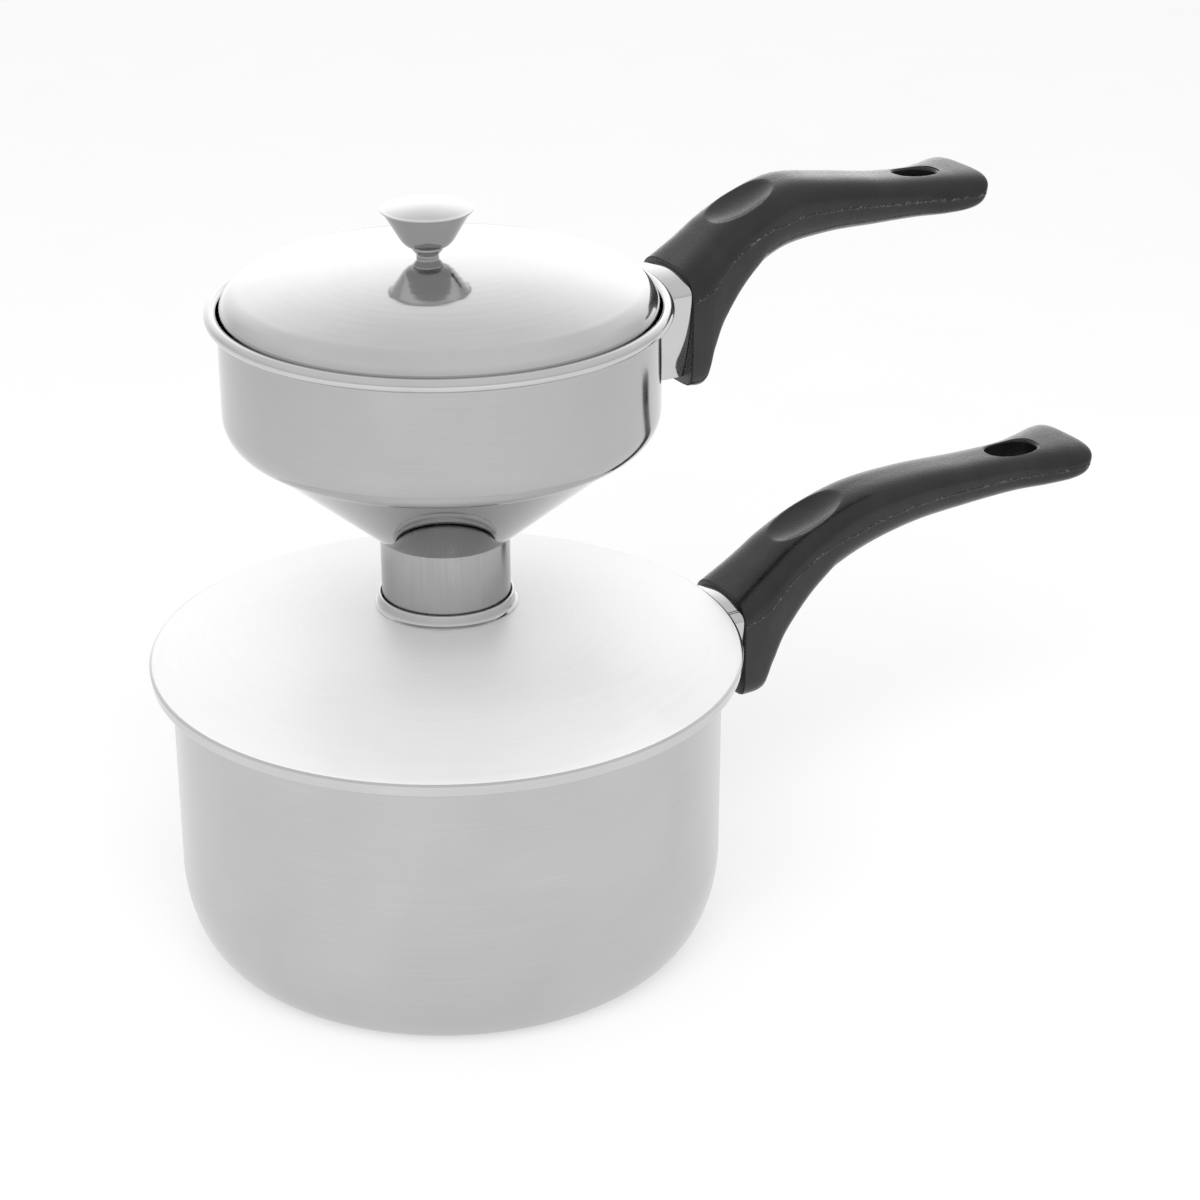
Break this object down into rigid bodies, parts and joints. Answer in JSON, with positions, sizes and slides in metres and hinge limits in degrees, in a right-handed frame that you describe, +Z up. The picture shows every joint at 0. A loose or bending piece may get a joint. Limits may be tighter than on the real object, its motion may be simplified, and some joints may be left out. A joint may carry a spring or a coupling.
{
  "type": "couscous steamer",
  "caption": "Two-tier stovetop couscous steamer: steel saucepan with a collared lid, a funnel-bottomed steamer bowl plugged into it with its own knobbed lid, and curved black handles.",
  "frame": {"origin": "centre of the saucepan's flat bottom, on the surface it stands on", "axes": "+Z up along the vessels' common axis, +X from the axis out along both handles"},
  "size_m": [0.3596, 0.1968, 0.2546],
  "materials": {
    "polished_steel": "mirror polished stainless steel",
    "satin_steel": "fine polished stainless steel",
    "plated_steel": "bright zinc plated",
    "phenolic": "finely pitted matt black"
  },
  "bodies": {
    "saucepan": {"pan_shell": "satin_steel", "pan_bracket": "satin_steel", "pan_flame_guard": "polished_steel", "pan_handle": "phenolic", "pan_handle_washer": "plated_steel", "pan_handle_screw": "plated_steel"},
    "pan_lid": {"pan_lid_shell": "polished_steel", "pan_lid_collar": "polished_steel"},
    "steamer": {"steamer_bowl": "satin_steel", "steamer_sieve": "satin_steel", "steamer_funnel": "polished_steel", "steamer_neck": "satin_steel", "steamer_bracket": "satin_steel", "steamer_flame_guard": "polished_steel", "steamer_handle": "phenolic", "steamer_handle_washer": "plated_steel", "steamer_handle_screw": "plated_steel"},
    "top_lid": {"top_lid_shell": "polished_steel", "knob_foot": "polished_steel", "knob_cup": "polished_steel", "knob_cap": "polished_steel", "knob_washer": "plated_steel", "knob_screw": "plated_steel"}
  },
  "joints": [
    {"name": "pan_lid_lift", "type": "slide", "parent": "saucepan", "child": "pan_lid", "axis": [0, 0, 1], "range_m": [0, 0.08]},
    {"name": "steamer_lift", "type": "slide", "parent": "pan_lid", "child": "steamer", "axis": [0, 0, 1], "range_m": [0, 0.06]},
    {"name": "top_lid_lift", "type": "slide", "parent": "steamer", "child": "top_lid", "axis": [0, 0, 1], "range_m": [0, 0.06]}
  ]
}
